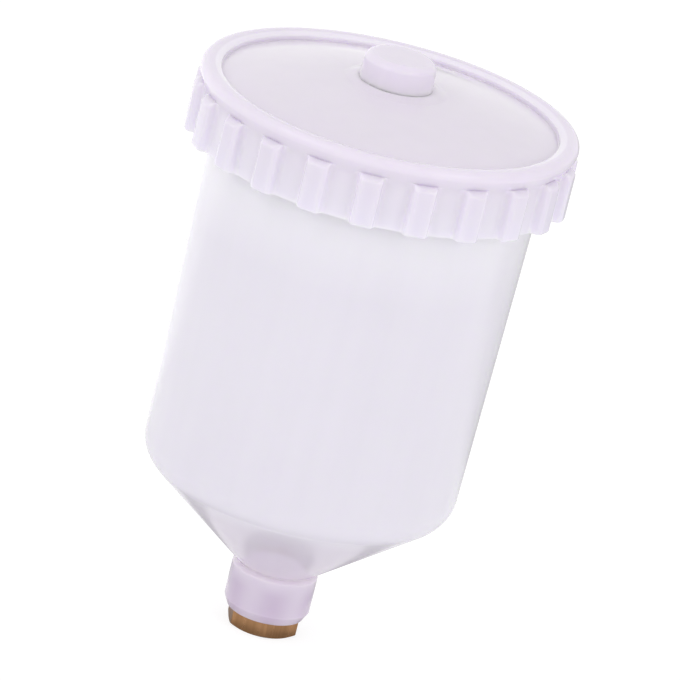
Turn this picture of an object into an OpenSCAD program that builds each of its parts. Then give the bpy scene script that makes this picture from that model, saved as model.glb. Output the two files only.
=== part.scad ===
// Gravity-feed paint cup with a screw lid, a push-pull vent plug and an outlet strainer.
// Millimetres. The axis is Z, and z = 0 is the lower face of the brass outlet insert.

/* [Outlet insert] */
// Hexagon of the brass insert, across its flats
hex_flats = 18; // [16:0.5:20]
// Angle of the hexagon's nearest corner from the front, towards the right
hex_turn = 9; // [0:1:60]
// Length of the insert, all of which is threaded
insert_h = 15; // [11:0.5:18]
// How far the insert stands out below the plastic boss
insert_drop = 4.5; // [2:0.5:6]
// Diameter of the threaded bore at the thread's crests
outlet_bore = 11.45; // [9:0.05:12.5]
// Angle of the turned chamfer on the insert's corners
hex_chamfer = 30; // [15:5:45]

/* [Outlet boss] */
// Outer diameter of the plastic boss round the insert
boss_d = 23.4; // [22.6:0.2:27]
// How far the boss reaches up past the insert
boss_cover = 2.8; // [2.2:0.1:6]
// Height of the chamfer at the foot of the boss
boss_chamfer_h = 2.5; // [1:0.1:3.5]
// Width of the chamfer at the foot of the boss
boss_chamfer_w = 1.3; // [0.8:0.1:2.2]
// Radius of the round at the top of the boss
boss_round = 1.6; // [0.8:0.1:2.4]
// Diameter of the drain above the insert, where the strainer stands
drain_d = 13.2; // [12.8:0.1:14.4]

/* [Barrel] */
// Thickness of the cup's wall
wall = 2; // [1.4:0.1:2.6]
// Angle of the cone's wall above the horizontal
cone_slope = 39.5; // [34:0.5:46]
// Outer radius of the barrel under the lid
barrel_top_r = 44.4; // [38:0.1:56]
// How much smaller the barrel's radius is where the shoulder begins
barrel_draft = 1.7; // [0.5:0.1:5]
// Radius of the round shoulder between barrel and cone
shoulder_round = 8.5; // [5:0.5:14]
// Height of the barrel, from the middle of the shoulder's round to the lid
barrel_h = 85.2; // [60:0.2:110]

/* [Mouth] */
// How far the mouth's wall stands back from the barrel
mouth_step = 0.2; // [0.1:0.1:1]
// Thickness of the mouth's wall
mouth_wall = 2; // [1.6:0.1:2.4]
// Height of the mouth above the barrel
mouth_h = 13.4; // [12.6:0.1:18]
// Rise of the screw thread in one turn
thread_pitch = 4; // [3.6:0.1:4.6]
// Turns of thread on the cup and in the lid
thread_turns = 2; // [1:0.25:2]
// How far a thread stands out of its wall
thread_depth = 1.6; // [1.2:0.1:1.8]
// Width of a thread at its root
thread_root_w = 2; // [1.6:0.1:2.2]
// Width of a thread at its crest
thread_crest_w = 1; // [0.6:0.1:1.2]
// Radial room between a thread's crest and the wall that it faces
thread_room = 0.5; // [0.4:0.05:0.8]

/* [Lid] */
// Thickness of the lid's skirt
skirt_wall = 2.7; // [2.2:0.1:3.2]
// Height of the skirt's foot above the top of the barrel
skirt_gap = 0.4; // [0.2:0.1:1]
// Thickness of the lid above the gasket
lid_t = 2.3; // [1.8:0.1:3]
// Height of the rim above the edge of the dome
rim_h = 1.8; // [1.2:0.1:2.4]
// Share of that height by which the rim's top drops toward the dome
rim_lean = 0.4; // [0:0.05:0.6]
// Width of the raised rim round the dome
rim_w = 5.4; // [3.5:0.1:6]
// How far the rim stands out beyond the skirt
rim_out = 2; // [0.8:0.1:2.2]
// Radius of the rim's rounded outer edge
rim_round = 2; // [1.2:0.1:3.2]
// Height over which the skirt flares out to the rim
rim_flare = 4; // [1:0.2:6]
// Rise of the dome at its centre
dome_rise = 6.4; // [3:0.1:9]
// Thickness of the dome
dome_t = 2.2; // [1.6:0.1:2.8]
// Number of grip ribs
rib_count = 22; // [12:1:28]
// Width of a grip rib
rib_w = 6.2; // [3:0.1:7]
// How far a grip rib stands out of the skirt
rib_out = 2.8; // [1.4:0.1:3.2]
// Distance from the rim's top down to the tops of the ribs
rib_drop = 4.9; // [3.6:0.1:8]
// Radius of a rib's rounded top
rib_round = 1.2; // [0.4:0.1:1.8]

/* [Gasket] */
// Thickness of the gasket
gasket_t = 1.6; // [1:0.1:2.4]
// Radial room round the gasket
gasket_room = 0.3; // [0.2:0.05:0.6]
// Radial room between the mouth and the ring that keeps the gasket in place
keeper_room = 0.9; // [0.6:0.1:1.5]
// Width of that ring
keeper_w = 1.8; // [1.2:0.1:2.4]
// How far it reaches down into the mouth
keeper_h = 4; // [2.5:0.1:6]

/* [Vent plug] */
// Diameter of the knob at its top
knob_d = 19.1; // [16:0.1:22]
// How much wider the knob is at its foot
knob_flare = 0.8; // [0:0.1:1.6]
// Height of the knob
knob_h = 7.4; // [5:0.1:10]
// Radius of the knob's rounded top edge
knob_round = 1.7; // [0.8:0.1:2.4]
// Diameter of the plug's stem
stem_d = 8.1; // [7:0.1:8.6]
// Radial room round the stem
stem_room = 0.1; // [0.05:0.01:0.15]
// Travel of the plug when it is pulled open
vent_travel = 4; // [3:0.1:4.6]
// Thickness of the seal ring's cord
seal_cord = 1.8; // [1.4:0.1:2]
// How far the catch at the stem's foot stands out
catch_out = 0.7; // [0.4:0.1:0.9]
// Height of the catch
catch_h = 1.4; // [1:0.1:2]
// Width of the slot that splits the stem's foot and lets air past it
split_w = 2; // [1.4:0.1:3]

/* [Drip baffle] */
// Outer diameter of the baffle
baffle_d = 20.4; // [18:0.2:24]
// Thickness of the baffle's wall and floor
baffle_t = 1.5; // [1.2:0.1:1.8]
// Height of the spigot that the baffle is pressed onto
spigot_h = 3.5; // [2.5:0.1:4]
// Height of the baffle's air slots
slot_h = 3; // [2:0.1:4]
// Width of the baffle's air slots
slot_w = 3; // [2:0.1:4]

/* [Strainer] */
// Height of the strainer's sleeve of mesh
sleeve_h = 34; // [20:1:50]
// Thickness of the mesh
mesh_t = 0.4; // [0.3:0.05:0.6]
// Thickness of the strainer's moulded parts
frame_t = 1.4; // [1:0.1:1.8]
// Number of posts round the mesh
post_count = 4; // [3:1:8]
// Diameter of the finger knob on the strainer
pull_d = 5; // [4:0.2:7]
// Height of the finger knob
pull_h = 4; // [3:0.2:6]
// Height of the strainer's foot
foot_h = 3.4; // [3:0.1:6]
// Radial room between the strainer's foot and the drain
foot_room = 0.2; // [0.1:0.05:0.3]

/* [Hidden] */
$fn = 128;
milky = [0.90, 0.89, 0.93];
nylon = [0.96, 0.96, 0.96];
mesh_grey = [0.85, 0.85, 0.85];
brass = [0.60, 0.46, 0.28];
black = [0.20, 0.20, 0.20];
arc_steps = 8;
dome_steps = 16;
thread_steps = 30; // steps in one turn of thread
fade_steps = 8; // steps over which a thread rises at its ends
fade_low = 0.3; // share of the thread's depth that its ends start with
bite = 0.4; // overlap that lets two solids of one piece join
over = 1; // how far a cutting shape reaches past what it cuts
edge = 0.4; // small bevel that breaks an outer edge

// Outlet, from the bottom up
hex_corner_r = hex_flats / sqrt(3);
boss_r = boss_d / 2;
boss_foot = insert_drop;
boss_top = insert_h + boss_cover;
drain_r = drain_d / 2;

// Barrel. The cone's line starts on the round at the top of the boss.
barrel_low_r = barrel_top_r - barrel_draft;
taper_angle = atan(barrel_draft / barrel_h);
cone_start = [boss_r - boss_round, boss_top];
shoulder_c = shoulder_centre();
barrel_top = shoulder_c[1] + barrel_h;

// Mouth and lid
mouth_r = barrel_top_r - mouth_step;
mouth_inner_r = mouth_r - mouth_wall;
mouth_top = barrel_top + mouth_h;
skirt_foot = barrel_top + skirt_gap;
skirt_inner_r = mouth_r + thread_depth + thread_room;
skirt_r = skirt_inner_r + skirt_wall;
lid_under = mouth_top + gasket_t;
dome_edge = lid_under + lid_t;
rim_top = dome_edge + rim_h;
rim_edge_z = dome_edge + rim_h * (1 - rim_lean);
rim_r = skirt_r + rim_out;
rib_r = skirt_r + rib_out;
rib_top = rim_top - rib_drop;
dome_r = rim_r - rim_w;
dome_sphere = (dome_r * dome_r + dome_rise * dome_rise) / (2 * dome_rise);
dome_c = dome_edge + dome_rise - dome_sphere;
keeper_r = mouth_inner_r - keeper_room;
gasket_r = skirt_inner_r - gasket_room;
gasket_inner_r = keeper_r + gasket_room;

// Middle of the thread where it starts. The lid's thread is the cup's, turned by half a turn.
thread_inset = 0.6; // least distance from a thread to the skirt's foot
thread_low = skirt_foot + thread_inset + thread_root_w / 2;

// Vent plug, from the seat of its knob down. The lid's bore is narrow at the seal and wider above it.
seat_h = 0.2; // height of the knob's seat above the dome
seat_edge = 0.2; // how far the seat shows round the knob
seal_inset = 1; // height of the seal ring above the spigot's foot
seal_squeeze = 0.05; // how far the seal ring stands out past the stem
seal_land = 0.7; // height of the narrow bore above the seal ring
vent_widening = 0.9; // how much wider the bore is above that
groove_room = 0.2; // how much higher the groove is than the seal ring
pad_z = dome_edge + dome_rise + seat_h;
knob_r = knob_d / 2;
knob_foot_r = knob_r + knob_flare / 2;
knob_top = pad_z + knob_h;
stem_r = stem_d / 2;
vent_bore_r = stem_r + stem_room;
vent_wide_r = vent_bore_r + vent_widening;
seal_r = seal_cord / 2;
groove_h = seal_cord + groove_room;
groove_r = stem_r - seal_cord + seal_squeeze;

// Drip baffle, which is pressed onto the lid's spigot
baffle_seat = 3; // distance from the dome's inner face down to the baffle
baffle_room = 2; // room between the stem's foot and the baffle's floor
baffle_r = baffle_d / 2;
spigot_r = baffle_r - baffle_t;
step_z = dome_z(baffle_r, dome_t) - baffle_seat;
spigot_foot = step_z - spigot_h;
seal_z = spigot_foot + seal_inset + seal_r;
catch_top = spigot_foot - vent_travel;
stem_foot = catch_top - catch_h;
baffle_floor = stem_foot - baffle_room;
spigot_room = 0.05; // radial room between the spigot and the baffle

// Strainer, which stands on the insert
foot_r = drain_r - foot_room;
sleeve_foot = insert_h + foot_h;
sleeve_top = sleeve_foot + sleeve_h;
mesh_inner_r = foot_r - frame_t;
mesh_r = mesh_inner_r + mesh_t;
post_r = mesh_r + frame_t;

// Height of the dome at a radius, or of a surface a little way inside it
function dome_z(r, inside) = dome_c + sqrt(pow(dome_sphere - inside, 2) - r * r);

// Points on the dome or its inner face, from one radius to another
function dome_line(r0, r1, inside) =
    [for (i = [0:dome_steps]) let (r = r0 + (r1 - r0) * i / dome_steps) [r, dome_z(r, inside)]];

// Points on an arc round a centre, from one angle to another
function arc(c, r, a0, a1, steps) =
    [for (i = [0:steps]) let (a = a0 + (a1 - a0) * i / steps) [c[0] + r * cos(a), c[1] + r * sin(a)]];

// Points of a list from its last to its first
function reverse(list) = let (n = len(list)) [for (i = [1:n]) list[n - i]];

// Centre of the shoulder's round, which touches the cone's line and the barrel's lowest radius
function shoulder_centre() =
    let (cx = barrel_low_r - shoulder_round,
         cz = cone_start[1] + (cx - cone_start[0]) * tan(cone_slope) + shoulder_round / cos(cone_slope))
    [cx, cz];

// Outline of the shoulder and barrel, drawn in by a thickness
function shoulder_line(inside) =
    concat(arc(shoulder_c, shoulder_round - inside, cone_slope - 90, -taper_angle, arc_steps),
           [[barrel_top_r - inside, barrel_top]]);

// Height of the cone's inner face at a radius
function floor_z(r) = cone_start[1] + (r - cone_start[0]) * tan(cone_slope) + wall / cos(cone_slope);

// A ridge wound round the axis: its root lies at radius r0, its crest at r1
module helix(r0, r1) {
    steps = ceil(thread_turns * thread_steps);
    root = thread_root_w / 2;
    crest = thread_crest_w / 2;
    section = [[r0, -root], [r1, -crest], [r1, crest], [r0, root]];
    points = [for (i = [0:steps])
        let (a = 360 * thread_turns * i / steps,
             rise = max(fade_low, min(1, i / fade_steps, (steps - i) / fade_steps)),
             z = thread_low + thread_pitch * a / 360)
        for (p = section)
            let (r = r0 + (p[0] - r0) * rise)
            [r * cos(a), r * sin(a), z + p[1]]];
    sides = [for (i = [0:steps - 1]) for (k = [0:3])
        let (a = 4 * i + k, b = 4 * i + (k + 1) % 4)
        each [[a, b, b + 4], [a, b + 4, a + 4]]];
    last = 4 * steps;
    ends = [[0, 2, 1], [0, 3, 2], [last, last + 1, last + 2], [last, last + 2, last + 3]];
    faces = concat(sides, ends);
    polyhedron(points, r1 > r0 ? faces : [for (f = faces) reverse(f)], convexity = 8);
}

// Outer shape of the insert, with its lower corners turned away
module insert_blank() {
    intersection() {
        rotate([0, 0, hex_turn - 90]) cylinder(r = hex_corner_r, h = insert_h, $fn = 6);
        rotate_extrude()
            polygon([[0, 0], [hex_flats / 2, 0], [hex_flats, hex_flats / 2 * tan(hex_chamfer)],
                     [hex_flats, insert_h], [0, insert_h]]);
    }
}

module cup_profile() {
    outer = concat([[boss_r - boss_chamfer_w, boss_foot], [boss_r, boss_foot + boss_chamfer_h]],
                   arc([boss_r - boss_round, boss_top - boss_round], boss_round, 0, 90, arc_steps),
                   shoulder_line(0),
                   [[mouth_r, barrel_top], [mouth_r, mouth_top - edge], [mouth_r - edge, mouth_top]]);
    inner = concat([[drain_r, boss_foot], [drain_r, floor_z(drain_r)]],
                   shoulder_line(wall),
                   [[mouth_inner_r, barrel_top], [mouth_inner_r, mouth_top]]);
    polygon(concat(outer, reverse(inner)));
}

module cup_body() {
    color(milky) {
        difference() {
            rotate_extrude() cup_profile();
            insert_blank();
        }
        helix(mouth_r - bite, mouth_r + thread_depth);
    }
}

module threaded_insert() {
    color(brass)
    difference() {
        insert_blank();
        translate([0, 0, -over]) cylinder(d = outlet_bore, h = insert_h + 2 * over);
    }
}

module lid_profile() {
    land_top = seal_z + seal_r + seal_land;
    seat_r = knob_foot_r + seat_edge;
    top = concat(arc([rim_r - rim_round, rim_top - rim_round], rim_round, 0, 90, arc_steps),
                 [[dome_r + edge, rim_edge_z], [dome_r, rim_edge_z - edge]],
                 dome_line(dome_r, seat_r + seat_h, 0),
                 [[seat_r, pad_z], [vent_wide_r, pad_z]]);
    vent = [[vent_wide_r, land_top + vent_widening], [vent_bore_r, land_top], [vent_bore_r, spigot_foot],
            [spigot_r, spigot_foot], [spigot_r, step_z], [baffle_r, step_z]];
    under = concat(dome_line(baffle_r, keeper_r - keeper_w, dome_t),
                   [[keeper_r - keeper_w, lid_under - keeper_h], [keeper_r, lid_under - keeper_h],
                    [keeper_r, lid_under], [skirt_inner_r, lid_under], [skirt_inner_r, skirt_foot],
                    [skirt_r - edge, skirt_foot], [skirt_r, skirt_foot + edge],
                    [skirt_r, rim_top - rim_round - rim_flare]]);
    polygon(concat(top, vent, under));
}

module ribs() {
    low = skirt_r - bite;
    rib_h = rib_top - skirt_foot;
    intersection() {
        for (i = [0:rib_count - 1])
            rotate([0, 0, 360 * i / rib_count - 90])
                translate([low - bite, -rib_w / 2, skirt_foot])
                    cube([rib_out + 3 * bite, rib_w, rib_h]);
        rotate_extrude()
            polygon(concat([[low, rib_top], [low, skirt_foot], [rib_r - edge, skirt_foot]],
                           [[rib_r, skirt_foot + edge]],
                           arc([rib_r - rib_round, rib_top - rib_round], rib_round, 0, 90, arc_steps / 2)));
    }
}

module lid() {
    color(milky) {
        rotate_extrude() lid_profile();
        ribs();
        rotate([0, 0, 180]) helix(skirt_inner_r + bite, skirt_inner_r - thread_depth);
    }
}

module lid_gasket() {
    color(nylon)
    rotate_extrude()
        translate([gasket_inner_r, mouth_top]) square([gasket_r - gasket_inner_r, gasket_t]);
}

module plug_profile() {
    polygon(concat([[0, knob_top]],
                   arc([knob_r - knob_round, knob_top - knob_round], knob_round, 90, 0, arc_steps),
                   [[knob_foot_r, pad_z + edge], [knob_foot_r - edge, pad_z], [stem_r, pad_z],
                    [stem_r, seal_z + groove_h / 2], [groove_r, seal_z + groove_h / 2],
                    [groove_r, seal_z - groove_h / 2], [stem_r, seal_z - groove_h / 2],
                    [stem_r, catch_top], [stem_r + catch_out, catch_top],
                    [stem_r, stem_foot], [0, stem_foot]]));
}

module vent_plug() {
    split_h = seal_z - seal_cord - stem_foot;
    split_l = 2 * (stem_r + catch_out + over);
    color(milky)
    difference() {
        rotate_extrude() plug_profile();
        // the split lets the catch spring in, and the air past the seal ring when the plug is up
        translate([-split_l / 2, -split_w / 2, stem_foot - over]) cube([split_l, split_w, split_h + over]);
    }
}

module vent_seal() {
    color(black)
    rotate_extrude() translate([groove_r + seal_r, seal_z]) circle(r = seal_r, $fn = 32);
}

module drip_baffle() {
    cap_h = step_z - baffle_floor;
    slot_l = 2 * (baffle_r + over);
    color(nylon)
    difference() {
        translate([0, 0, baffle_floor - baffle_t]) cylinder(r = baffle_r, h = cap_h + baffle_t);
        translate([0, 0, baffle_floor]) cylinder(r = spigot_r + spigot_room, h = cap_h + over);
        for (a = [0, 90])
            rotate([0, 0, a])
                translate([-slot_l / 2, -slot_w / 2, baffle_floor]) cube([slot_l, slot_w, slot_h]);
    }
}

// A plain ring that stands on a height
module ring(outer, inner, z, h) {
    translate([0, 0, z]) difference() {
        cylinder(r = outer, h = h);
        translate([0, 0, -over]) cylinder(r = inner, h = h + 2 * over);
    }
}

module strainer_frame() {
    color(nylon) {
        // foot, which stands on the insert inside the drain
        ring(foot_r, mesh_inner_r, insert_h, foot_h);
        for (i = [0:post_count - 1])
            rotate([0, 0, 360 * (i + 0.5) / post_count])
                translate([mesh_r, -frame_t / 2, sleeve_foot - bite])
                    cube([frame_t, frame_t, sleeve_h + bite + frame_t]);
        // hoop half-way up, cap, and the knob that lifts the strainer out
        ring(post_r, mesh_r, sleeve_foot + (sleeve_h - frame_t) / 2, frame_t);
        translate([0, 0, sleeve_top]) cylinder(r = post_r, h = frame_t);
        translate([0, 0, sleeve_top + frame_t]) cylinder(d1 = pull_d - 1, d2 = pull_d, h = pull_h);
    }
}

module strainer_mesh() {
    color(mesh_grey) ring(mesh_r, mesh_inner_r, sleeve_foot, sleeve_h);
}

cup_body();
threaded_insert();
lid();
lid_gasket();
vent_plug();
vent_seal();
drip_baffle();
strainer_frame();
strainer_mesh();
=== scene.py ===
from math import asin, atan, cos, pi, radians, sin, sqrt, tan

import bmesh
import bpy
from mathutils import Matrix, Quaternion, Vector


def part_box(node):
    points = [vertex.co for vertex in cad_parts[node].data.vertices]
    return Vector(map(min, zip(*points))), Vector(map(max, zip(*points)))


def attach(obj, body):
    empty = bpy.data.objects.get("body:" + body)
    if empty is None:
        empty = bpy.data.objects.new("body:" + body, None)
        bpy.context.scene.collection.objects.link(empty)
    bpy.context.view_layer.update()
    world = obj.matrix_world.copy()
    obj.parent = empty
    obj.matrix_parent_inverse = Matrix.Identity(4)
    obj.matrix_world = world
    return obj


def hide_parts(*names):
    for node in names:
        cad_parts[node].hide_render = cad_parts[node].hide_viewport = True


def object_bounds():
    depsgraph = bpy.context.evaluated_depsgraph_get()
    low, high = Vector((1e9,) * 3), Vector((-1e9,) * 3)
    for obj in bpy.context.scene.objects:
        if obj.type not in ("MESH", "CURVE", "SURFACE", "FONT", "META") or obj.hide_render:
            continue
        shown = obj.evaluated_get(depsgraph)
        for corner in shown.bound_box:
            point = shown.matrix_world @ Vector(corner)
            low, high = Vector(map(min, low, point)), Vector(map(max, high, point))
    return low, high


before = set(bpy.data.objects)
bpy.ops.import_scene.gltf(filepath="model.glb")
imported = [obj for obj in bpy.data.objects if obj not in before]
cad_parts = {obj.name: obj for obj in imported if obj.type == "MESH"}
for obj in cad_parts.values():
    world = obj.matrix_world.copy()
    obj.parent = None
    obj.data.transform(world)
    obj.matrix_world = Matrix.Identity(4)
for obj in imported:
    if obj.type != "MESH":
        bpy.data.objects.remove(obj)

cad_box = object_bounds()

# Millimetres become metres
MM = 0.001

# Distances below which points count as one, in metres
CLOSE = 1e-6
TOUCHING = 1e-7

# Steps in one turn of a thread and of the bore it stands in, of the plug, and across the dome
THREAD_STEPS = 72
PLUG_STEPS = 96
DOME_STEPS = 24

# A point this far off, in metres, gives an outline only its direction
FAR_OFF = 1

# Sizes of the brass insert
HEX_FLATS = 18 * MM
HEX_TURN = radians(9)
HEX_CHAMFER = radians(30)
HEX_EDGE = 0.45 * MM
TURNED_CUTS = 96
INSERT_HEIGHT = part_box("threaded_insert")[1].z
INSERT_LIP = 0.35 * MM
INSERT_BORE = 5.725 * MM
INSERT_THREAD_PITCH = 1.337 * MM
INSERT_THREAD_ROOT = 6.58 * MM
INSERT_THREAD_FOOT = 1.25 * MM
INSERT_THREAD_CREST = 0.2 * MM
INSERT_THREAD_SINK = 0.1 * MM

# Sizes of the cup
WALL = 2 * MM
BOSS_RADIUS = 11.7 * MM
BOSS_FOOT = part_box("cup_body")[0].z
BOSS_TOP = INSERT_HEIGHT + 2.8 * MM
BOSS_ROUND = 1.6 * MM
BOSS_CHAMFER_HEIGHT = 2.5 * MM
BOSS_CHAMFER_WIDTH = 1.3 * MM
BOSS_FOOT_ROUND = 0.35 * MM
BOSS_EDGE_ROUND = 0.8 * MM
BOSS_SHOULDER_DROP = 0.8 * MM
BOSS_SHOULDER_ROUND = 0.9 * MM
CONE_FOOT_INSET = 1 * MM
CONE_FOOT_RISE = 0.2 * MM
CONE_FOOT_ROUND = 0.45 * MM
CONE_FOOT_REACH = 1.9 * MM
INSERT_SEAT = 8.8 * MM
INSERT_GRIP = 0.2 * MM
DRAIN_RADIUS = 6.6 * MM
CONE_SLOPE = radians(39.5)
BARREL_TOP_RADIUS = 44.4 * MM
BARREL_LOW_RADIUS = 42.7 * MM
BARREL_HEIGHT = 85.2 * MM
SHOULDER_ROUND = 8.5 * MM
MOUTH_RADIUS = 44.2 * MM
MOUTH_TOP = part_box("cup_body")[1].z
MOUTH_OUTER_ROUND = 0.5 * MM
MOUTH_INNER_ROUND = 0.4 * MM
MOUTH_STEP_RISE = 0.1 * MM
MOUTH_STEP_ROUND = 0.08 * MM
MOUTH_STEP_INSIDE = 1 * MM

# Sizes of the lid
SKIRT_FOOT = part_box("lid")[0].z
SKIRT_INNER = 46.3 * MM
SKIRT_RADIUS = 49 * MM
SKIRT_CHAMFER = 0.3 * MM
SKIRT_EDGE = 0.4 * MM
RIM_RADIUS = 51 * MM
RIM_WIDTH = 5.4 * MM
RIM_ROUND = 2 * MM
RIM_CREST_ROUND = 7 * MM
RIM_LIP_ROUND = 0.3 * MM
RIM_WALL_LEAN = 0.1 * MM
RIM_FLARE = 4 * MM
RIM_FLARE_ROUND = 0.8 * MM
GASKET_HEIGHT = 1.6 * MM
LID_UNDER = MOUTH_TOP + GASKET_HEIGHT
DOME_EDGE = LID_UNDER + 2.3 * MM
DOME_RISE = 6.4 * MM
DOME_WALL = 2.2 * MM
DOME_RADIUS = RIM_RADIUS - RIM_WIDTH
DOME_FOOT_ROUND = 0.4 * MM
DOME_START = 1.2 * MM
RIM_TOP = DOME_EDGE + 2.1 * MM
FLARE_FOOT = RIM_TOP - 0.3 * MM - RIM_ROUND - RIM_FLARE
RIB_RADIUS = 51.8 * MM
RIB_WIDTH = 6.2 * MM
RIB_ROUND = 1.4 * MM
RIB_FOOT_ROUND = 1.3 * MM
RIB_END = 1.6 * MM
RIB_TOP = RIM_TOP - 5.2 * MM
RIB_LOW_SHARE = 0.88
RIB_COUNT = 22
KEEPER_RADIUS = 41.3 * MM
KEEPER_WIDTH = 1.8 * MM
KEEPER_DROP = 4 * MM
BAFFLE_RADIUS = 10.2 * MM
BAFFLE_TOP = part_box("drip_baffle")[1].z
SPIGOT_RADIUS = 8.7 * MM
SPIGOT_HEIGHT = 3.5 * MM
VENT_BORE = 4.15 * MM
VENT_LEAD = 0.9 * MM

# Sizes of the screw thread between cup and lid
THREAD_PITCH = 4 * MM
THREAD_TURNS = 2
THREAD_DEPTH = 1.6 * MM
THREAD_ROOT = 2 * MM
THREAD_CREST = 1 * MM
THREAD_SINK = 0.4 * MM
THREAD_LOW = SKIRT_FOOT + 0.6 * MM + THREAD_ROOT / 2

# Ends of a thread's ridge: share of its height over which they fade, and share of its depth they start at
RIDGE_FADE = 0.12
RIDGE_START = 0.15

# Sizes of the vent plug and of the pad it sits on
KNOB_RADIUS = 9.55 * MM
KNOB_FLARE = 0.4 * MM
KNOB_ROUND = 2.2 * MM
KNOB_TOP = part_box("vent_plug")[1].z
KNOB_FOOT = KNOB_TOP - 7.4 * MM
KNOB_SINK = 0.06 * MM
PAD_WIDTH = 1.3 * MM
PAD_RAMP = 2.2 * MM
PAD_STEP = 0.3 * MM
STEM_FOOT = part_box("vent_plug")[0].z
STEM_RADIUS = 4.05 * MM
SEAL_GROOVE = 2.3 * MM
SEAL_ROOM = 0.1 * MM
CATCH_OUT = 0.7 * MM
CATCH_HEIGHT = 1.4 * MM
SPLIT_WIDTH = 2 * MM

# Sizes of the strainer's sleeve
MESH_THREADS = 56
MESH_INSET = 0.2 * MM
MESH_THICK = 0.22 * MM

# Colours of the milky plastic, in the display's 8-bit steps, by the height at which each is reached. Pinker
# round the boss, where the brass shows through. Darker on the downward-facing cone and over the dome, which
# is painted shade. Lighter just above the boss and just below the lid's skirt, which is painted light that
# offsets the shade in the crease at the boss and under the lid's overhang.
TALLEST = cad_box[1][2]
PLASTIC_TINTS_AND_PAINTED_LIGHT = [
    (6 * MM, (218, 207, 223)), (16 * MM, (224, 215, 229)), (18 * MM, (232, 222, 234)),
    (21 * MM, (222, 213, 227)), (38 * MM, (222, 215, 229)), (44 * MM, (230, 226, 238)),
    (112 * MM, (230, 226, 238)), (SKIRT_FOOT - 0.5 * MM, (240, 237, 248)),
    (SKIRT_FOOT, (232, 228, 240)), (DOME_EDGE, (228, 221, 233))]

# Where the brass shows through the boss: its tint, and the heights with all of it and with none
BRASS_TINT = (0.9, 0.86, 0.91, 1)
BRASS_ALL = INSERT_HEIGHT - 2 * MM
BRASS_NONE = INSERT_HEIGHT + 1 * MM

# The painted highlight along the rim's inner edge: its tint, its radius and how far to each side it fades
RIM_HIGHLIGHT_TINT = (237, 232, 242)
RIM_HIGHLIGHT_RADIUS = DOME_RADIUS + 0.9 * MM
RIM_HIGHLIGHT_ALL = 0.5 * MM
RIM_HIGHLIGHT_NONE = 1.2 * MM

# Painted shading on the skirt: how the lightness changes on a rib and, by the angle from the rib's side, in
# the crease beside it, which flattens the ribs' light and shade
RIB_PAINTED_SHADE = -0.032
RIB_NONE = SKIRT_RADIUS + 0.6 * MM
RIB_ALL = RIB_RADIUS - 0.3 * MM
CREASE_PAINTED_LIGHT = 0.07
CREASE_ANGLE = (RIB_WIDTH / 2 + 0.5 * MM) / SKIRT_RADIUS
CREASE_REACH = 0.03
SKIRT_OUTSIDE = SKIRT_RADIUS - 0.5 * MM

# The stretch of a noise's values that a swing or a pair of colours is laid over
NOISE_LOW = 0.3
NOISE_HIGH = 0.7

# The floor's size and colour, how strongly it glows in the picture, and the glow's share in what is seen
FLOOR_RADIUS = 6
FLOOR_COLOUR = (0.94, 0.94, 0.94, 1)
FLOOR_GLOW = 1.1
FLOOR_GLOW_SHARE = 0.75

# How strongly a mirror sees the floor, by the distance from the axis in millimetres: painted rings of shade
# and light in the floor's reflection
PAINTED_REFLECTION_RINGS = ((13, 0.35), (16, 1), (31, 1), (35, 0.4), (46, 0.4), (56, 1))
RINGS_DIVIDED_BY = 1.1
RINGS_REACH = 100

# Strengths that change along a direction: from, to, strength at the first, strength at the second. The first
# three shape the floor's painted reflection, lighter behind on the left.
RINGS_SIDEWAYS = (-0.008, 0.012, 1.04, 0.98)
FLOOR_SIDEWAYS = (-0.04, 0.04, 0.4, -0.5)
FLOOR_BEHIND = (0.11, 0.16, 0, 1)
WORLD_UPWARD = (0.2, 1, 1.03, 0.8)
MIRRORED_SIDEWAYS = (-1, 1, 1.15, 0.5)
MIRRORED_UPWARD = (0.15, 0.6, 0.2, 0)

# Camera, as far as the photograph's perspective gives it
CAMERA_PLACE = Vector((0, -1.8, 0.7359))
CAMERA_AIM = Vector((0.0021, 0, 0.0844))
CAMERA_ROLL = radians(14)
CAMERA_LENS = 381.9
CAMERA_SENSOR = 36

# Lamps: place, size and power. They point at the middle of the cup
LAMP_AIM = (0, 0, 0.08)
LAMPS = {"key": ((-1.2, -1.0, 1.4), 1.2, 4.6), "fill": ((1.4, -1.2, 0.9), 1.0, 4)}


def arc(centre, radius, start, end, steps):
    """Points on a round stretch of an outline, from one angle to another in degrees."""
    angles = [radians(start + (end - start) * i / steps) for i in range(steps + 1)]
    return [(centre[0] + radius * cos(a), centre[1] + radius * sin(a)) for a in angles]


def rounded(corners, steps=5):
    """Points of an outline whose corners (radius, height, round) are rounded where round isn't 0."""
    points = []
    count = len(corners)
    for i, (x, z, size) in enumerate(corners):
        here = Vector((x, z))
        if size == 0:
            points.append((x, z))
            continue
        before = (Vector(corners[i - 1][:2]) - here).normalized()
        after = (Vector(corners[(i + 1) % count][:2]) - here).normalized()
        half = before.angle(after) / 2
        reach = size / tan(half)
        centre = here + (before + after).normalized() * size / sin(half)
        first = here + before * reach - centre
        last = here + after * reach - centre
        sweep = first.angle_signed(last)
        for k in range(steps + 1):
            spoke = Matrix.Rotation(-sweep * k / steps, 2) @ first
            points.append(tuple(centre + spoke))
    return points


def finish_piece(name, bm, body, material, node, sharp=35):
    """Makes a bmesh into a piece: smooth but for its sharp edges, on its body, in place of a CAD node."""
    bmesh.ops.remove_doubles(bm, verts=bm.verts, dist=CLOSE)
    bmesh.ops.recalc_face_normals(bm, faces=bm.faces)
    mesh = bpy.data.meshes.new(name)
    bm.to_mesh(mesh)
    bm.free()
    mesh.shade_smooth()
    mesh.set_sharp_from_angle(angle=radians(sharp))
    mesh.materials.append(material)
    piece = bpy.data.objects.new(name, mesh)
    bpy.context.scene.collection.objects.link(piece)
    weighted = piece.modifiers.new("even_normals", "WEIGHTED_NORMAL")
    weighted.keep_sharp = True
    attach(piece, body)
    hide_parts(node)


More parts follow.
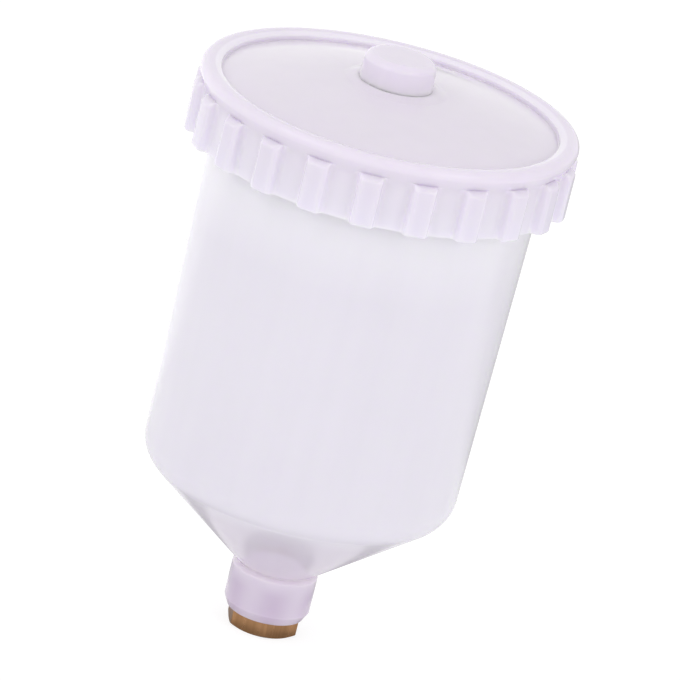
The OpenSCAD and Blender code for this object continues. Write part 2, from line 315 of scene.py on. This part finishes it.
def turn(bm, outline, steps=192, closed=True):
    """Turns an outline of (radius, height) points round the axis."""
    verts = [bm.verts.new((0, -x, z)) for x, z in outline]
    edges = [bm.edges.new(pair) for pair in zip(verts, verts[1:])]
    if closed:
        edges.append(bm.edges.new((verts[-1], verts[0])))
    bmesh.ops.spin(bm, geom=verts + edges, cent=(0, 0, 0), axis=(0, 0, 1), dvec=(0, 0, 0),
                   angle=2 * pi, steps=steps, use_merge=True)
    bmesh.ops.remove_doubles(bm, verts=bm.verts, dist=TOUCHING)


def helical_ridge(bm, root, crest, low, pitch, turns, root_width, crest_width, start=0.0):
    """A screw's ridge as a closed solid whose ends taper into the wall."""
    before = set(bm.verts)
    section = [(root, -root_width / 2), (crest, -crest_width / 2), (crest, crest_width / 2),
               (root, root_width / 2)]
    verts = [bm.verts.new((x * cos(start), x * sin(start), low + z)) for x, z in section]
    bmesh.ops.spin(bm, geom=[bm.faces.new(verts)], cent=(0, 0, 0), axis=(0, 0, 1),
                   dvec=(0, 0, pitch / THREAD_STEPS), angle=2 * pi * turns,
                   steps=int(turns * THREAD_STEPS), use_merge=False)
    fade = RIDGE_FADE * turns * pitch
    for v in set(bm.verts) - before:
        reach = v.co.xy.length
        near_root = (reach - root) / (crest - root) < 0.5
        if near_root:
            continue
        height = v.co.z - low
        rise = min(1, max(RIDGE_START, height / fade), max(RIDGE_START, (turns * pitch - height) / fade))
        scale = (root + (crest - root) * rise) / reach
        v.co.x *= scale
        v.co.y *= scale


def dome_line(first, last, inside):
    """Points on the dome, or on its face inside, from one radius to another."""
    radius = (DOME_RADIUS ** 2 + DOME_RISE ** 2) / (2 * DOME_RISE)
    centre = DOME_EDGE + DOME_RISE - radius
    spans = [first + (last - first) * i / DOME_STEPS for i in range(DOME_STEPS + 1)]
    return [(x, centre + sqrt((radius - inside) ** 2 - x ** 2)) for x in spans]


def shoulder_centre(cone_start):
    """Centre of the shoulder's round, which touches the cone and the barrel."""
    x = BARREL_LOW_RADIUS - SHOULDER_ROUND
    return x, BOSS_TOP + (x - cone_start) * tan(CONE_SLOPE) + SHOULDER_ROUND / cos(CONE_SLOPE)


def make_cup(plastic):
    """The cup: boss, cone, shoulder, barrel and the mouth with its thread."""
    cone_start = BOSS_RADIUS - BOSS_ROUND
    centre = shoulder_centre(cone_start)
    barrel_top = centre[1] + BARREL_HEIGHT
    lean = -atan((BARREL_TOP_RADIUS - BARREL_LOW_RADIUS) / BARREL_HEIGHT) / radians(1)
    slope = CONE_SLOPE / radians(1) - 90
    mouth_inner = MOUTH_RADIUS - WALL
    floor = BOSS_TOP + (DRAIN_RADIUS - cone_start) * tan(CONE_SLOPE) + WALL / cos(CONE_SLOPE)
    ledge = INSERT_HEIGHT - INSERT_GRIP
    foot = rounded([(INSERT_SEAT, BOSS_FOOT, 0),
                    (BOSS_RADIUS - BOSS_CHAMFER_WIDTH, BOSS_FOOT, BOSS_FOOT_ROUND),
                    (BOSS_RADIUS, BOSS_FOOT + BOSS_CHAMFER_HEIGHT, BOSS_EDGE_ROUND),
                    (BOSS_RADIUS, BOSS_TOP - BOSS_SHOULDER_DROP, BOSS_SHOULDER_ROUND),
                    (BOSS_RADIUS - CONE_FOOT_INSET, BOSS_TOP + CONE_FOOT_RISE, CONE_FOOT_ROUND),
                    (cone_start + CONE_FOOT_REACH, BOSS_TOP + CONE_FOOT_REACH * tan(CONE_SLOPE), 0)])[:-1]
    step = rounded([(0, barrel_top - FAR_OFF, 0), (BARREL_TOP_RADIUS, barrel_top, MOUTH_STEP_ROUND),
                    (MOUTH_RADIUS, barrel_top + MOUTH_STEP_RISE, 0)])[1:]
    lip = (rounded([(MOUTH_RADIUS, 0, 0), (MOUTH_RADIUS, MOUTH_TOP, MOUTH_OUTER_ROUND),
                    (0, MOUTH_TOP, 0)])[1:-1]
           + rounded([(0, MOUTH_TOP, 0), (mouth_inner, MOUTH_TOP, MOUTH_INNER_ROUND),
                      (mouth_inner, 0, 0)])[1:-1])
    inner = ([(mouth_inner, barrel_top), (BARREL_TOP_RADIUS - WALL, barrel_top - MOUTH_STEP_INSIDE)]
             + arc(centre, SHOULDER_ROUND - WALL, lean, slope, 24)
             + [(DRAIN_RADIUS, floor), (DRAIN_RADIUS, ledge), (INSERT_SEAT, ledge)])
    bm = bmesh.new()
    turn(bm, foot + arc(centre, SHOULDER_ROUND, slope, lean, 24) + step + lip + inner)
    helical_ridge(bm, MOUTH_RADIUS - THREAD_SINK, MOUTH_RADIUS + THREAD_DEPTH, THREAD_LOW, THREAD_PITCH,
                  THREAD_TURNS, THREAD_ROOT, THREAD_CREST)
    finish_piece("cup_shell", bm, "cup", plastic, "cup_body")


def make_insert(brass):
    """The brass insert: a hexagon with turned corners and a threaded bore."""
    bm = bmesh.new()
    corner = HEX_FLATS / sqrt(3)
    made = bmesh.ops.create_cone(bm, cap_ends=True, segments=6, radius1=corner, radius2=corner,
                                 depth=INSERT_HEIGHT)
    bmesh.ops.rotate(bm, verts=made["verts"], cent=(0, 0, 0), matrix=Matrix.Rotation(HEX_TURN, 3, "Z"))
    bmesh.ops.translate(bm, verts=made["verts"], vec=(0, 0, INSERT_HEIGHT / 2))
    upright = [e for e in bm.edges if abs(e.verts[0].co.z - e.verts[1].co.z) > INSERT_HEIGHT / 2]
    bmesh.ops.bevel(bm, geom=upright, offset=HEX_EDGE, offset_type="OFFSET", segments=3, profile=0.5,
                    affect="EDGES", material=-1)
    for k in range(TURNED_CUTS):
        around = 2 * pi * k / TURNED_CUTS
        outward = Vector((cos(around), sin(around), 0))
        bmesh.ops.bisect_plane(
            bm, geom=bm.verts[:] + bm.edges[:] + bm.faces[:], plane_co=outward * HEX_FLATS / 2,
            plane_no=outward * sin(HEX_CHAMFER) - Vector((0, 0, cos(HEX_CHAMFER))), clear_outer=True,
            dist=TOUCHING)
        bmesh.ops.holes_fill(bm, edges=[e for e in bm.edges if e.is_boundary])
    bmesh.ops.remove_doubles(bm, verts=bm.verts, dist=CLOSE)
    flat_ends = [f for f in bm.faces if abs(f.normal.z) > 0.99]
    bmesh.ops.delete(bm, geom=flat_ends, context="FACES_ONLY")
    wide = INSERT_THREAD_ROOT + INSERT_LIP
    turn(bm, [(wide, 0), (INSERT_THREAD_ROOT, INSERT_LIP), (INSERT_THREAD_ROOT, INSERT_HEIGHT - INSERT_LIP),
              (wide, INSERT_HEIGHT)], steps=THREAD_STEPS, closed=False)
    for height in (0, INSERT_HEIGHT):
        level = [e for e in bm.edges if e.is_boundary and all(abs(v.co.z - height) < CLOSE for v in e.verts)]
        bmesh.ops.bridge_loops(bm, edges=level)
    helical_ridge(bm, INSERT_THREAD_ROOT + INSERT_THREAD_SINK, INSERT_BORE, INSERT_THREAD_PITCH,
                  INSERT_THREAD_PITCH, INSERT_HEIGHT / INSERT_THREAD_PITCH - 2, INSERT_THREAD_FOOT,
                  INSERT_THREAD_CREST)
    finish_piece("insert", bm, "cup", brass, "threaded_insert", sharp=12)


def lid_outline():
    """The lid's outline: rim, dome, pad, vent, underside and skirt."""
    crest = RIM_RADIUS - RIM_ROUND
    flare = atan((RIM_RADIUS - SKIRT_RADIUS) / RIM_FLARE) / radians(1)
    fall = asin((crest - DOME_RADIUS) / RIM_CREST_ROUND) / radians(1)
    crown = arc((crest, RIM_TOP - RIM_CREST_ROUND), RIM_CREST_ROUND, 90, 90 + fall, 10)
    pad = KNOB_RADIUS + KNOB_FLARE + PAD_WIDTH
    pad_top = KNOB_FOOT + KNOB_SINK
    top = (arc((crest, RIM_TOP - RIM_ROUND), RIM_ROUND, -flare, 90, 12) + crown[1:-1]
           + rounded([(*crown[-2], 0), (*crown[-1], RIM_LIP_ROUND),
                      (DOME_RADIUS - RIM_WALL_LEAN, DOME_EDGE + RIM_WALL_LEAN, DOME_FOOT_ROUND),
                      (0, DOME_EDGE + DOME_RISE, 0)])[1:-1]
           + dome_line(DOME_RADIUS - DOME_START, pad + PAD_RAMP, 0)
           + [(pad, pad_top), (KNOB_RADIUS, pad_top), (KNOB_RADIUS - PAD_STEP, KNOB_FOOT),
              (VENT_BORE + VENT_LEAD, KNOB_FOOT)])
    spigot_foot = BAFFLE_TOP - SPIGOT_HEIGHT
    vent = [(VENT_BORE + VENT_LEAD, BAFFLE_TOP + VENT_LEAD), (VENT_BORE, BAFFLE_TOP),
            (VENT_BORE, spigot_foot), (SPIGOT_RADIUS, spigot_foot), (SPIGOT_RADIUS, BAFFLE_TOP),
            (BAFFLE_RADIUS, BAFFLE_TOP)]
    keeper_inner = KEEPER_RADIUS - KEEPER_WIDTH
    keeper_foot = LID_UNDER - KEEPER_DROP
    under = (dome_line(BAFFLE_RADIUS, keeper_inner, DOME_WALL)
             + [(keeper_inner, keeper_foot), (KEEPER_RADIUS, keeper_foot), (KEEPER_RADIUS, LID_UNDER),
                (SKIRT_INNER, LID_UNDER), (SKIRT_INNER, SKIRT_FOOT + SKIRT_CHAMFER),
                (SKIRT_INNER + SKIRT_CHAMFER, SKIRT_FOOT)])
    heights = ([SKIRT_FOOT, SKIRT_FOOT + SKIRT_EDGE] + [FLARE_FOOT - drop * MM for drop in (4, 2, 1)]
               + [RIB_TOP - RIB_END * share for share in (1, 0.8, 0.6, 0.4, 0.22, 0.1, 0.03, 0)])
    return top + vent + under + [(skirt_radius(z), z) for z in heights]


def make_lid(plastic):
    """The lid: one sector with its grip rib, repeated round the axis."""
    bm = bmesh.new()
    sector = 2 * pi / RIB_COUNT
    section = rib_section()
    half = [angle for angle, lift in section]
    half += [half[-1] + (sector / 2 - half[-1]) * share for share in (1 / 3, 2 / 3, 1)]
    angles = [-angle for angle in reversed(half)] + half[1:]
    last = [bm.verts.new((x * sin(angles[0]), -x * cos(angles[0]), z)) for x, z in lid_outline()]
    last += [bm.edges.new(pair) for pair in zip(last, last[1:] + last[:1])]
    for before, after in zip(angles, angles[1:]):
        made = bmesh.ops.spin(bm, geom=last, cent=(0, 0, 0), axis=(0, 0, 1), dvec=(0, 0, 0),
                              angle=after - before, steps=1, use_merge=False)
        last = made["geom_last"]
    bmesh.ops.remove_doubles(bm, verts=bm.verts, dist=TOUCHING)
    raise_rib(bm, section)
    bmesh.ops.spin(bm, geom=bm.verts[:] + bm.edges[:] + bm.faces[:], cent=(0, 0, 0), axis=(0, 0, 1),
                   dvec=(0, 0, 0), angle=2 * pi - sector, steps=RIB_COUNT - 1, use_merge=False,
                   use_duplicate=True)
    helical_ridge(bm, SKIRT_INNER + THREAD_SINK, SKIRT_INNER - THREAD_DEPTH, THREAD_LOW, THREAD_PITCH,
                  THREAD_TURNS, THREAD_ROOT, THREAD_CREST, start=pi)
    finish_piece("lid_shell", bm, "lid", plastic, "lid")


def skirt_radius(z):
    """Radius of the skirt's outer wall, which flares softly toward the rim."""
    above = z - FLARE_FOOT
    soft = (above + sqrt(above ** 2 + RIM_FLARE_ROUND ** 2)) / 2
    return SKIRT_RADIUS + soft * (RIM_RADIUS - SKIRT_RADIUS) / RIM_FLARE


def rib_section():
    """Angles and lifts across half a rib, from its middle to where it runs out into the skirt."""
    depth = RIB_RADIUS - SKIRT_RADIUS
    flat = RIB_WIDTH / 2 - RIB_ROUND
    points = [(0, depth)]
    for bend in (0, 22.5, 45, 67.5, 90):
        points.append((flat + RIB_ROUND * sin(radians(bend)), depth - RIB_ROUND * (1 - cos(radians(bend)))))
    for bend in (0, 25, 50, 70, 90):
        points.append((RIB_WIDTH / 2 + RIB_FOOT_ROUND * (1 - cos(radians(bend))),
                       RIB_FOOT_ROUND * (1 - sin(radians(bend)))))
    return [(asin(x / SKIRT_RADIUS), lift) for x, lift in points]


def raise_rib(bm, section):
    """Lifts the skirt's outer wall to one grip rib with soft corners and a rounded top."""
    for v in bm.verts:
        base = v.co.xy.length
        if v.co.z > RIB_TOP + CLOSE or base < SKIRT_RADIUS - CLOSE:
            continue
        side = abs(asin(v.co.x / base))
        if side > section[-1][0] + CLOSE:
            continue
        lift = min(section, key=lambda point: abs(point[0] - side))[1]
        end = min(1, (RIB_TOP - v.co.z) / RIB_END)
        share = sqrt(1 - (1 - end) ** 2)
        if v.co.z < SKIRT_FOOT + CLOSE:
            share = RIB_LOW_SHARE
        raised = base + lift * share * (RIB_RADIUS - base) / (RIB_RADIUS - SKIRT_RADIUS)
        v.co.y = -sqrt(raised ** 2 - v.co.x ** 2)


def make_plug(plastic):
    """The vent plug: knob, stem, groove for the seal ring and the split catch at the stem's foot."""
    low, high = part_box("vent_seal")
    upper = (rounded([(0, KNOB_TOP, 0), (KNOB_RADIUS, KNOB_TOP, KNOB_ROUND),
                      (KNOB_RADIUS + KNOB_FLARE, KNOB_FOOT, 0), (STEM_RADIUS, KNOB_FOOT, 0)], 8)
             + [(STEM_RADIUS, high.z + SEAL_ROOM), (SEAL_GROOVE, high.z + SEAL_ROOM), (SEAL_GROOVE, low.z),
                (0, low.z)])
    catch_top = STEM_FOOT + CATCH_HEIGHT
    split = [(0, low.z), (SEAL_GROOVE, low.z), (SEAL_GROOVE, low.z - SEAL_ROOM),
             (STEM_RADIUS, low.z - SEAL_ROOM), (STEM_RADIUS, catch_top), (STEM_RADIUS + CATCH_OUT, catch_top),
             (STEM_RADIUS, STEM_FOOT), (0, STEM_FOOT)]
    bm = bmesh.new()
    turn(bm, upper, steps=PLUG_STEPS, closed=False)
    for side in (-1, 1):
        half = bmesh.new()
        turn(half, split, steps=PLUG_STEPS, closed=False)
        bmesh.ops.bisect_plane(half, geom=half.verts[:] + half.edges[:] + half.faces[:], dist=TOUCHING,
                               plane_co=(0, side * SPLIT_WIDTH / 2, 0), plane_no=(0, -side, 0),
                               clear_outer=True)
        bmesh.ops.holes_fill(half, edges=[e for e in half.edges if e.is_boundary])
        mesh = bpy.data.meshes.new("half")
        half.to_mesh(mesh)
        half.free()
        bm.from_mesh(mesh)
        bpy.data.meshes.remove(mesh)
    finish_piece("knob_plug", bm, "plug", plastic, "vent_plug")


def make_mesh_sleeve(thread):
    """The strainer's sleeve: woven threads round a cylinder."""
    low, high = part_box("strainer_mesh")
    bm = bmesh.new()
    column = [(high.x - MESH_INSET, low.z + (high.z - low.z) * i / MESH_THREADS)
              for i in range(MESH_THREADS + 1)]
    turn(bm, column, steps=MESH_THREADS, closed=False)
    bmesh.ops.wireframe(bm, faces=bm.faces, thickness=MESH_THICK, use_replace=True, use_boundary=True,
                        use_even_offset=True)
    finish_piece("mesh_sleeve", bm, "strainer", thread, "strainer_mesh", sharp=60)


def node_tree(name):
    """A new material with its node tree and its Principled shader."""
    material = bpy.data.materials.new(name)
    material.use_nodes = True
    tree = material.node_tree
    return material, tree, tree.nodes["Principled BSDF"]


def linear(red, green, blue):
    """A colour given in the display's 8-bit steps, as the shader's own numbers."""
    def straight(step):
        value = step / 255
        return value / 12.92 if value <= 0.04045 else ((value + 0.055) / 1.055) ** 2.4
    return (straight(red), straight(green), straight(blue), 1)


def axes(tree, vector):
    """The three parts of a place or a direction."""
    split = tree.nodes.new("ShaderNodeSeparateXYZ")
    tree.links.new(vector, split.inputs["Vector"])
    return split.outputs["X"], split.outputs["Y"], split.outputs["Z"]


def maths(tree, operation, first, second=0):
    """What a Math node makes of one or two numbers or outputs."""
    node = tree.nodes.new("ShaderNodeMath")
    node.operation = operation
    for socket, value in zip(node.inputs, (first, second)):
        if isinstance(value, bpy.types.NodeSocket):
            tree.links.new(value, socket)
        else:
            socket.default_value = value
    return node.outputs[0]


def ramped(tree, value, low, high, first, last, soft=False):
    """A number that goes from first to last while the value goes from low to high."""
    span = tree.nodes.new("ShaderNodeMapRange")
    if soft:
        span.interpolation_type = "SMOOTHSTEP"
    for socket, number in zip(("From Min", "From Max", "To Min", "To Max"), (low, high, first, last)):
        span.inputs[socket].default_value = number
    tree.links.new(value, span.inputs["Value"])
    return span.outputs["Result"]


def mixed(tree, share, first, second, blend="MIX"):
    """A colour that goes from the first to a fixed second one as the share goes from 0 to 1."""
    mix = tree.nodes.new("ShaderNodeMix")
    mix.data_type = "RGBA"
    mix.blend_type = blend
    mix.inputs["B"].default_value = second
    tree.links.new(share, mix.inputs["Factor"])
    tree.links.new(first, mix.inputs["A"])
    return mix.outputs["Result"]


def colour_line(tree, share, stops):
    """A colour read off a line of stops (position, colour)."""
    ramp = tree.nodes.new("ShaderNodeValToRGB")
    line = ramp.color_ramp
    while len(line.elements) < len(stops):
        line.elements.new(0.5)
    for element, (position, colour) in zip(line.elements, stops):
        element.position = position
        element.color = colour
    tree.links.new(share, ramp.inputs["Fac"])
    return ramp.outputs["Color"]


def grain(tree, place, scale, stretch, detail=2):
    """Noise over the object, drawn out along the axis where stretch is below 1."""
    mapping = tree.nodes.new("ShaderNodeMapping")
    mapping.inputs["Scale"].default_value = (1, 1, stretch)
    tree.links.new(place, mapping.inputs["Vector"])
    noise = tree.nodes.new("ShaderNodeTexNoise")
    noise.inputs["Scale"].default_value = scale
    noise.inputs["Detail"].default_value = detail
    tree.links.new(mapping.outputs["Vector"], noise.inputs["Vector"])
    return noise.outputs["Fac"]


def between(tree, noise, low, high):
    """A number that swings from low to high with the noise."""
    return ramped(tree, noise, NOISE_LOW, NOISE_HIGH, low, high)


def scaled(tree, colour, amount):
    """A colour made lighter or darker by an amount near 1."""
    times = tree.nodes.new("ShaderNodeVectorMath")
    times.operation = "SCALE"
    tree.links.new(colour, times.inputs["Vector"])
    tree.links.new(amount, times.inputs["Scale"])
    return times.outputs["Vector"]


def from_axis(tree, x, y):
    """Distance from the object's axis."""
    return maths(tree, "SQRT", maths(tree, "ADD", maths(tree, "POWER", x, 2), maths(tree, "POWER", y, 2)))


def through_boss(tree, place, colour):
    """The plastic round the insert, pinker where the hexagon's corners come near its surface."""
    x, y, z = axes(tree, place)
    around = maths(tree, "SUBTRACT", maths(tree, "ARCTAN2", y, x), HEX_TURN - pi / 2)
    wave = maths(tree, "COSINE", maths(tree, "MULTIPLY", around, 6))
    near = maths(tree, "MULTIPLY", maths(tree, "ADD", wave, 1), 0.5)
    low = ramped(tree, z, BRASS_ALL, BRASS_NONE, 1, 0)
    return mixed(tree, maths(tree, "MULTIPLY", near, low), colour, BRASS_TINT, "MULTIPLY")


def painted_rim_highlight(tree, place, colour):
    """The plastic a little lighter along the rim's thin inner edge: a painted highlight where the edge
    catches the light.
    """
    x, y, z = axes(tree, place)
    off = maths(tree, "ABSOLUTE", maths(tree, "SUBTRACT", from_axis(tree, x, y), RIM_HIGHLIGHT_RADIUS))
    near = ramped(tree, off, RIM_HIGHLIGHT_ALL, RIM_HIGHLIGHT_NONE, 1, 0, soft=True)
    high = maths(tree, "GREATER_THAN", z, DOME_EDGE)
    return mixed(tree, maths(tree, "MULTIPLY", near, high), colour, linear(*RIM_HIGHLIGHT_TINT))


def painted_rib_shading(tree, place, colour):
    """The skirt's plastic with painted shading: a little darker on the ribs and lighter in the creases beside
    them, which flattens the light and shade that fall on the ribs.
    """
    x, y, z = axes(tree, place)
    away = from_axis(tree, x, y)
    rib = ramped(tree, away, RIB_NONE, RIB_ALL, 0, RIB_PAINTED_SHADE)
    around = maths(tree, "ARCTAN2", x, maths(tree, "MULTIPLY", y, -1))
    from_rib = maths(tree, "PINGPONG", around, pi / RIB_COUNT)
    off = maths(tree, "ABSOLUTE", maths(tree, "SUBTRACT", from_rib, CREASE_ANGLE))
    crease = ramped(tree, off, 0, CREASE_REACH, CREASE_PAINTED_LIGHT, 0, soft=True)
    here = maths(tree, "MULTIPLY", maths(tree, "LESS_THAN", z, RIB_TOP),
                 maths(tree, "GREATER_THAN", away, SKIRT_OUTSIDE))
    change = maths(tree, "MULTIPLY", maths(tree, "ADD", crease, rib), here)
    return scaled(tree, colour, maths(tree, "ADD", change, 1))


def milky_plastic():
    """Milky moulded plastic: clouded, faintly streaked along the axis, pinker where brass shows through, with
    painted shade and painted light by height, a painted highlight along the rim and painted shading on the
    ribs.
    """
    material, tree, shader = node_tree("milky_plastic")
    place = tree.nodes.new("ShaderNodeTexCoord").outputs["Object"]
    height = ramped(tree, axes(tree, place)[2], 0, TALLEST, 0, 1)
    # Colours by height with painted shade and painted light, pinker for the brass, then the painted rim
    # highlight and the painted rib shading
    tint_and_painted_light = colour_line(tree, height, [(z / TALLEST, linear(*colour)) for z, colour in PLASTIC_TINTS_AND_PAINTED_LIGHT])
    tint_and_painted_light = painted_rib_shading(tree, place, painted_rim_highlight(tree, place, through_boss(tree, place, tint_and_painted_light)))
    clouds = between(tree, grain(tree, place, scale=22, stretch=1), low=0.985, high=1.01)
    streaks = between(tree, grain(tree, place, scale=160, stretch=0.04), low=0.993, high=1.007)
    tree.links.new(scaled(tree, scaled(tree, tint_and_painted_light, clouds), streaks), shader.inputs["Base Color"])
    gloss = between(tree, grain(tree, place, scale=60, stretch=1), low=0.07, high=0.13)
    tree.links.new(gloss, shader.inputs["Roughness"])
    ripple = tree.nodes.new("ShaderNodeBump")
    ripple.inputs["Strength"].default_value = 0.15
    ripple.inputs["Distance"].default_value = 0.1 * MM
    tree.links.new(grain(tree, place, scale=45, stretch=0.4), ripple.inputs["Height"])
    tree.links.new(ripple.outputs["Normal"], shader.inputs["Normal"])
    shader.inputs["Subsurface Weight"].default_value = 0.8
    shader.inputs["Subsurface Scale"].default_value = 2.6 * MM
    shader.inputs["Subsurface Radius"].default_value = (1, 0.9, 1.1)
    shader.inputs["IOR"].default_value = 1.5
    return material


def speckled(name, dark, light, scale, smooth, dull, stretch=1, metallic=0):
    """A finish whose colour and roughness both vary a little over the object."""
    material, tree, shader = node_tree(name)
    speck = grain(tree, tree.nodes.new("ShaderNodeTexCoord").outputs["Object"], scale, stretch, detail=4)
    colour = colour_line(tree, speck, ((NOISE_LOW, linear(*dark)), (NOISE_HIGH, linear(*light))))
    tree.links.new(colour, shader.inputs["Base Color"])
    tree.links.new(between(tree, speck, dull, smooth), shader.inputs["Roughness"])
    shader.inputs["Metallic"].default_value = metallic
    return material


def dress(node, material):
    """Gives a CAD node its finish."""
    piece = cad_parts[node]
    piece.data.materials.clear()
    piece.data.materials.append(material)


def area_lamp(name, place, size, power):
    """A soft square lamp that points at the middle of the cup."""
    light = bpy.data.lights.new(name, "AREA")
    light.shape = "SQUARE"
    light.size = size
    light.energy = power
    lamp = bpy.data.objects.new(name, light)
    lamp.location = place
    lamp.rotation_mode = "QUATERNION"
    lamp.rotation_quaternion = (Vector(LAMP_AIM) - Vector(place)).to_track_quat("-Z", "Y")
    bpy.context.scene.collection.objects.link(lamp)


def seen_directly(tree):
    """1 for rays from the camera, a mirror or through glass, and 0 for soft light."""
    path = tree.nodes.new("ShaderNodeLightPath").outputs
    seen = maths(tree, "MAXIMUM", path["Is Camera Ray"], path["Is Glossy Ray"])
    return maths(tree, "MAXIMUM", seen, path["Is Transmission Ray"])


def either(tree, share, first, second):
    """The first number where the share is 0, the second where it is 1."""
    mix = tree.nodes.new("ShaderNodeMix")
    for socket, value in (("Factor", share), ("A", first), ("B", second)):
        if isinstance(value, bpy.types.NodeSocket):
            tree.links.new(value, mix.inputs[socket])
        else:
            mix.inputs[socket].default_value = value
    return mix.outputs["Result"]


def painted_floor_reflection(tree):
    """How strongly a shiny surface sees the floor: a painted reflection, with darker and lighter rings near
    the foot and brighter behind on the left.
    """
    x, y, z = axes(tree, tree.nodes.new("ShaderNodeTexCoord").outputs["Object"])
    stops = [(reach / RINGS_REACH, (strength / RINGS_DIVIDED_BY,) * 3 + (1,)) for reach, strength in PAINTED_REFLECTION_RINGS]
    away = maths(tree, "MULTIPLY", from_axis(tree, x, y), 1 / (RINGS_REACH * MM))
    near = maths(tree, "MULTIPLY", colour_line(tree, away, stops), ramped(tree, x, *RINGS_SIDEWAYS))
    behind = maths(tree, "MULTIPLY", ramped(tree, x, *FLOOR_SIDEWAYS), ramped(tree, y, *FLOOR_BEHIND))
    return maths(tree, "ADD", near, behind)


def make_floor():
    """A pale floor that keeps the object's shadow. It looks plain to the camera, and shiny surfaces see
    painted rings of shade and light in it.
    """
    bm = bmesh.new()
    bmesh.ops.create_circle(bm, cap_ends=True, segments=64, radius=FLOOR_RADIUS)
    mesh = bpy.data.meshes.new("floor")
    bm.to_mesh(mesh)
    bm.free()
    floor = bpy.data.objects.new("floor", mesh)
    bpy.context.scene.collection.objects.link(floor)
    material, tree, shader = node_tree("floor")
    shader.inputs["Base Color"].default_value = FLOOR_COLOUR
    shader.inputs["Roughness"].default_value = 0.9
    shader.inputs["Specular IOR Level"].default_value = 0
    glow = tree.nodes.new("ShaderNodeEmission")
    camera_ray = tree.nodes.new("ShaderNodeLightPath").outputs["Is Camera Ray"]
    tree.links.new(either(tree, camera_ray, painted_floor_reflection(tree), FLOOR_GLOW), glow.inputs["Strength"])
    mix = tree.nodes.new("ShaderNodeMixShader")
    tree.links.new(maths(tree, "MULTIPLY", seen_directly(tree), FLOOR_GLOW_SHARE), mix.inputs["Fac"])
    tree.links.new(shader.outputs["BSDF"], mix.inputs[1])
    tree.links.new(glow.outputs["Emission"], mix.inputs[2])
    tree.links.new(mix.outputs["Shader"], tree.nodes["Material Output"].inputs["Surface"])
    mesh.materials.append(material)


def make_world():
    """White where it is seen. As a light it is plain, and softer from above."""
    world = bpy.data.worlds.new("studio")
    bpy.context.scene.world = world
    world.use_nodes = True
    tree = world.node_tree
    background = tree.nodes["Background"]
    background.inputs["Color"].default_value = (1, 1, 1, 1)
    x, y, z = axes(tree, tree.nodes.new("ShaderNodeTexCoord").outputs["Generated"])
    light = ramped(tree, z, *WORLD_UPWARD)
    mirrored = maths(tree, "ADD", ramped(tree, x, *MIRRORED_SIDEWAYS), ramped(tree, z, *MIRRORED_UPWARD))
    tree.links.new(either(tree, seen_directly(tree), light, mirrored), background.inputs["Strength"])


def make_camera():
    """The camera at the photograph's angle, which leans to the left."""
    data = bpy.data.cameras.new("camera")
    data.lens = CAMERA_LENS
    data.sensor_width = CAMERA_SENSOR
    camera = bpy.data.objects.new("camera", data)
    camera.location = CAMERA_PLACE
    camera.rotation_mode = "QUATERNION"
    aim = (CAMERA_AIM - CAMERA_PLACE).to_track_quat("-Z", "Y")
    camera.rotation_quaternion = aim @ Quaternion((0, 0, 1), CAMERA_ROLL)
    bpy.context.scene.collection.objects.link(camera)
    bpy.context.scene.camera = camera


plastic = milky_plastic()
brass = speckled("brass", dark=(163, 122, 85), light=(182, 139, 100), scale=700, smooth=0.26, dull=0.38,
                 stretch=0.06, metallic=1)
nylon = speckled("nylon", dark=(232, 231, 226), light=(240, 239, 235), scale=120, smooth=0.32, dull=0.46)
foam = speckled("gasket", dark=(222, 220, 214), light=(234, 232, 227), scale=900, smooth=0.6, dull=0.75)
thread = speckled("mesh", dark=(226, 226, 222), light=(242, 242, 240), scale=1500, smooth=0.35, dull=0.5)
rubber = speckled("seal_rubber", dark=(30, 30, 32), light=(44, 44, 46), scale=400, smooth=0.42, dull=0.58)
make_cup(plastic)
make_insert(brass)
make_lid(plastic)
make_plug(plastic)
make_mesh_sleeve(thread)
dress("lid_gasket", foam)
dress("vent_seal", rubber)
dress("drip_baffle", nylon)
dress("strainer_frame", nylon)

make_floor()
make_world()
make_camera()
for lamp_name, (lamp_place, lamp_size, lamp_power) in LAMPS.items():
    area_lamp(lamp_name, lamp_place, lamp_size, lamp_power)

bpy.context.scene.view_settings.view_transform = "Standard"
